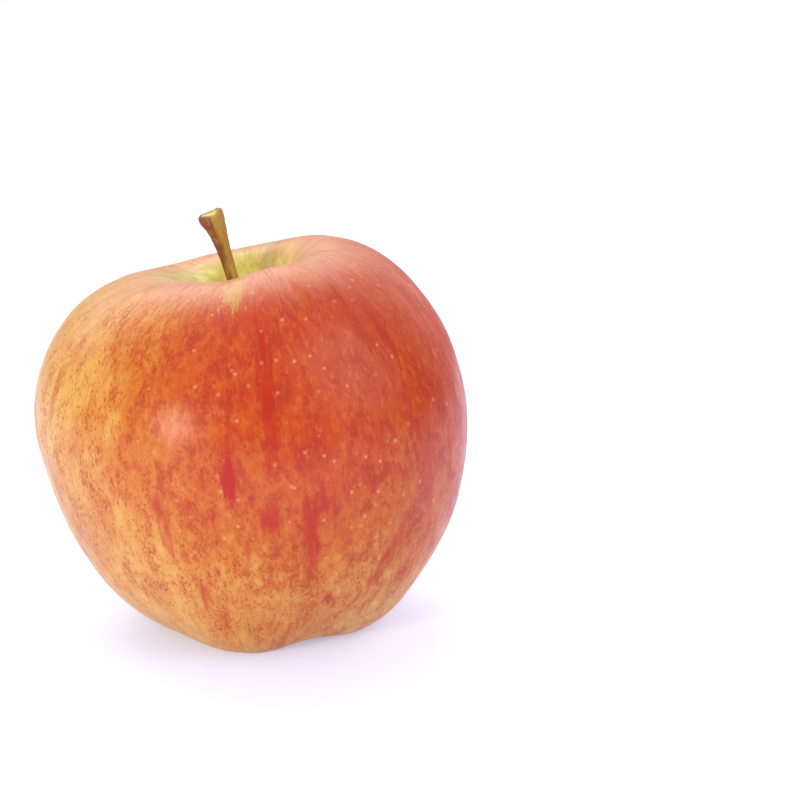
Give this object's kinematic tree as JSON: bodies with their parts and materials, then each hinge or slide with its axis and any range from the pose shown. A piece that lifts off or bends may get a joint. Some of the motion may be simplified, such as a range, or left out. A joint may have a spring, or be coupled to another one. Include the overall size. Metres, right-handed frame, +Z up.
{
  "type": "apple",
  "caption": "Whole eating apple, streaked red over yellow, with a broken-off woody stem in a deep cavity, a lobed base to rest on and a dried calyx underneath.",
  "frame": {"origin": "on the ground, under the middle of the fruit's box", "axes": "+Z up along the core; -Y is the fully ripened face with the yellow foot; the top leans and the stem tilts towards -X, and the shoulder is highest on the +X side"},
  "size_m": [0.073, 0.0708, 0.0709],
  "materials": {
    "skin": "waxy apple skin, yellow ground streaked and flecked with orange-red, with pale dots",
    "stem": "dry woody stalk, brown to ochre, with fine fibres",
    "sepal": "dried downy leaf tissue, grey-brown to olive",
    "stamen": "withered dark brown threads"
  },
  "bodies": {
    "root": {"fruit": "skin", "stem": "stem", "sepal_1": "sepal", "sepal_2": "sepal", "sepal_3": "sepal", "sepal_4": "sepal", "sepal_5": "sepal", "stamens": "stamen"}
  },
  "joints": []
}
